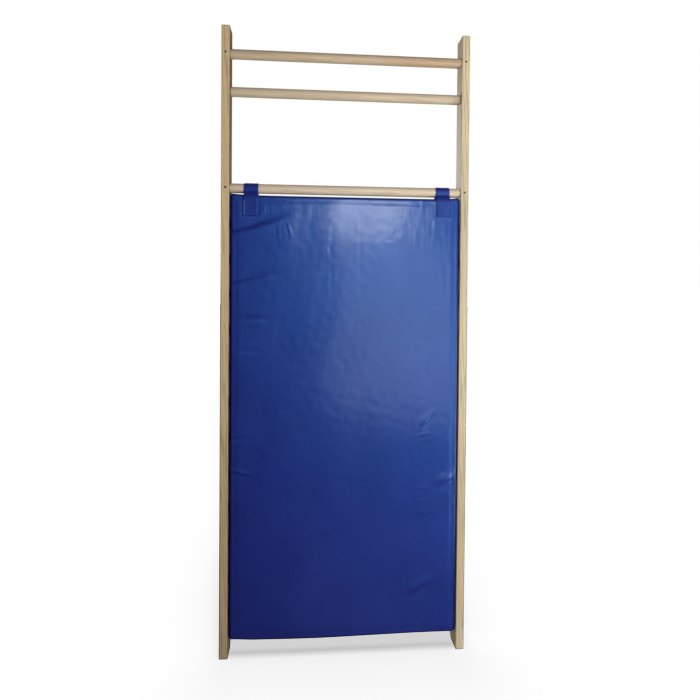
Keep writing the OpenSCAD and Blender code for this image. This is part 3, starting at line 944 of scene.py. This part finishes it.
def make_hooks(side):
    """The hook tape on the flap's inside: a woven strip with rows of small bent hooks."""
    lo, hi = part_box(f"{side}_hook_patch")
    base, black = lo.y + 0.5 * MM, (0.012, 0.013, 0.018)
    strip = patch_strip(lo, hi, lo.y + 0.02 * MM, base, woven("hook_tape_weave", black, 0.5 * MM))
    frames = []
    for i, k, x, z in patch_places(lo, hi, 2 * MM, 1.9 * MM):
        lean = 1 if (i + k) % 2 else -1
        tip = (x + lean * 0.16 * MM, base + 0.36 * MM, z)
        frames.append(((x, base + 0.17 * MM, z), (0, 0, 0.28), (0.28, 0, 0), (0, 1.0, 0)))
        frames.append((tip, (0, 0, 0.28), (0.6, -lean * 0.12, 0), (0, 0.32, 0)))
    hooks = boxes("hooks", frames, np.array((1, 1, 0.42)) * MM, True)
    hooks.data.materials.append(Graph("hook_nylon").finish(Base_Color=black, Roughness=0.38))
    patch = join(f"{side}_hooks", [strip, hooks])
    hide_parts(f"{side}_hook_patch")
    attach(patch, f"{side}_strap_flap")


def yarn_loop(foot, turn, height):
    """The points of one arch of yarn that stands out from foot: five places, three points round each."""
    along = np.array((math.cos(turn), 0, math.sin(turn)))
    aside = np.cross(along, (0, 1, 0)) * YARN_R
    points = []
    for t in (math.pi * k / 4 for k in range(5)):
        middle = foot + along * 0.75 * MM * math.cos(t) - np.array((0, height * math.sin(t), 0))
        points += [middle - aside, middle + aside, middle - np.array((0, YARN_R, 0))]
    return points


def make_loops(side):
    """The loop tape on the pad: a strip with a tangle of fine loops."""
    lo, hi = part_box(f"{side}_loop_patch")
    base, tone, pitch = hi.y - 0.5 * MM, linear(16, 24, 74), 1.7 * MM
    strip = patch_strip(lo, hi, base, hi.y - 0.02 * MM, woven("loop_tape_weave", tone, 0.6 * MM))
    draw = np.random.default_rng(40 + len(side))
    points, faces = [], []
    for _, _, x, z in patch_places(lo, hi, 1.5 * MM, pitch):
        aside, up, turn, tall = draw.random(4)
        foot = np.array((x + 0.5 * (aside - 0.5) * pitch, base, z + 0.5 * (up - 0.5) * pitch))
        faces += ring_quads(len(points), 5, 3)
        points += yarn_loop(foot, math.pi * turn, (0.25 + 0.18 * tall) * MM)
    loops = new_mesh("loops", points, faces)
    loops.data.materials.append(thread("loop_yarn", tone))
    patch = join(f"{side}_loops", [strip, loops])
    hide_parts(f"{side}_loop_patch")
    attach(patch, "pad")


# ---- Straps ----

STRAP_T = 2 * MM
HINGE_Z = PAD_HI.z - 9 * MM  # where the flap bends open
STRAP_SEAM = 0.82  # of the strap's half width
STRAP_PITCH = 4.5 * MM
FLAP_SLIDE = {"left": -1.6 * MM, "right": 0.4 * MM}  # how far aside each flap lies
# From below the rung out over the pad's top edge: (Y, height over the rung's axis), in millimetres
STRAP_WAY_OUT = [(-25.6, -15.8), (-31.5, -20.2), (-36.2, -24.4)]
STRAP_VINYL = vinyl("strap_vinyl", (0.010, 0.010, 0.118), (0.014, 0.014, 0.140), 0.55, 0.16, 0.09, 1.0)
STRAP_THREAD = thread("strap_thread", linear(30, 44, 132))


def strap_path(flap_end):
    """A strap's middle line in the Y-Z plane: up from its sewn tail, over the rung, in below it, over the
    pad's top edge and down to the flap's end."""
    y, z, radius = rung_axis("rung_03")
    tail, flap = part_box("left_strap"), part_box("left_flap")
    reach = radius + 0.6 * MM + STRAP_T / 2
    back_y, flap_y = PAD_HI.y + STRAP_T / 2, flap[0].y + STRAP_T / 2
    points = [(back_y, h) for h in np.linspace(tail[0].z, PAD_HI.z - 3 * MM, 14)]
    points += [(back_y + 0.6 * MM, PAD_HI.z + 3 * MM)]
    points += arc((y, z), reach, -50, 219, 36)
    points += [(out * MM, z + over * MM) for out, over in STRAP_WAY_OUT]
    points += [(flap_y + 0.2 * MM, z - 30 * MM)]
    points += [(flap_y, h) for h in np.linspace(flap[1].z - 6 * MM, flap_end, 16)]
    return np.array(points)


def evened(line, step):
    """The line again, smoothed a little, with points step apart."""
    for _ in range(2):
        line[1:-1] = (line[:-2] + 2 * line[1:-1] + line[2:]) / 4
    along = np.concatenate([[0], np.cumsum(np.linalg.norm(np.diff(line, axis=0), axis=1))])
    at = np.linspace(0, along[-1], int(along[-1] / step) + 1)
    return np.stack([np.interp(at, along, line[:, k]) for k in range(2)], axis=1)


class StrapCourse:
    """Where a strap runs: its middle line in the Y-Z plane, and how wide and how far aside it lies."""

    def __init__(self, side):
        lo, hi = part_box(f"{side}_flap")
        self.middle, self.half, self.slide = (lo.x + hi.x) / 2, (hi.x - lo.x) / 2, FLAP_SLIDE[side]
        self.line = evened(strap_path(lo.z), 2.2 * MM)
        tangent = np.gradient(self.line, axis=0)
        tangent /= np.linalg.norm(tangent, axis=1)[:, None]
        self.normal = np.stack([tangent[:, 1], -tangent[:, 0]], axis=1)
        self.on_flap = smooth((HINGE_Z - self.line[:, 1]) / (25 * MM)) * (self.line[:, 0] < -30 * MM)
        self.sewn_to = int(np.argmax(self.line[:, 1] > PAD_HI.z - 2.5 * MM))

    def at(self, u, k, off):
        """The point that is u half widths aside at the line's point k, and off outside the line."""
        y, z = self.line[k] + self.normal[k] * off
        return self.middle + u * self.half + self.slide * self.on_flap[k], y, z

    def up(self, p):
        """The strap's normal at the point of its line nearest to p."""
        return np.array((0, *self.normal[np.argmin(np.linalg.norm(self.line - p[1:], axis=1))]))


def strap_stitches(course):
    """Stitches along both edges of a strap, a box at its tail and a row across its end."""
    count, off, rows = len(course.line), STRAP_T / 2 * 0.8, []
    for u in (-STRAP_SEAM, STRAP_SEAM):
        rows += stitch_line([course.at(u, k, off) for k in range(3, count - 2)], course.up, STRAP_PITCH)
    for k in (3, 18, count - 4):
        across = [course.at(u, k, off) for u in np.linspace(-STRAP_SEAM, STRAP_SEAM, 5)]
        rows += stitch_line(across, (0, *course.normal[k]), STRAP_PITCH)
    return rows


def strap_rings(course):
    """The strap's cross-sections: thicker at the hems, and on the flap curled up at one edge."""
    across = np.linspace(-1, 1, 23)
    hem = np.exp(-((np.abs(across) - 0.86) / 0.10) ** 2)
    thick = STRAP_T / 2 * (0.78 + 0.18 * hem)
    thick[[0, -1]] *= 0.55
    curl = 1.1 * MM * smooth((-across - 0.72) / 0.28) - 0.5 * MM * (1 - across ** 2)
    rings = []
    for k, flap in enumerate(course.on_flap):
        lift = np.minimum(curl * flap, 0.9 * MM)
        rings.append([course.at(u, k, off) for face in (1, -1)
                      for u, off in list(zip(across, lift + face * thick))[::face]])
    return rings


def make_strap(side):
    """A hanging strap: its sewn tail, attached to the pad, and the rest, as a piece of its own."""
    course = StrapCourse(side)
    rings = strap_rings(course)
    tail = tube(f"{side}_strap_tail", rings[:course.sewn_to + 1])
    strap = tube(f"{side}_hanging_strap", rings[course.sewn_to:])
    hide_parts(f"{side}_strap")
    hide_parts(f"{side}_strap", f"{side}_flap")
    tail_rows, rows = [], []
    for row in strap_stitches(course):
        low = row[0][1] > -20 * MM and row[0][2] < course.line[course.sewn_to, 1]
        (tail_rows if low else rows).append(row)
    size = (1, 0.55 * MM, 0.5 * MM)
    tail_seam = boxes(f"{side}_tail_stitches", tail_rows, size)
    seam = boxes(f"{side}_strap_stitches", rows, size)
    for piece in (tail, strap, tail_seam, seam):
        coat(piece, STRAP_VINYL if piece in (tail, strap) else STRAP_THREAD, "strap_vinyl")
    for piece in (tail, tail_seam):
        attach(piece, "pad")
    for piece in (strap, seam):
        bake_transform(piece)


# ---- The whole scene ----

add_camera()
FLOOR = add_floor()
add_light()
finish_boards()
make_rungs()
make_pad()
make_back_panel()
for side in ("left", "right"):
    make_strap(side)
    make_hooks(side)
    make_loops(side)
make_zip()
finish_metal()
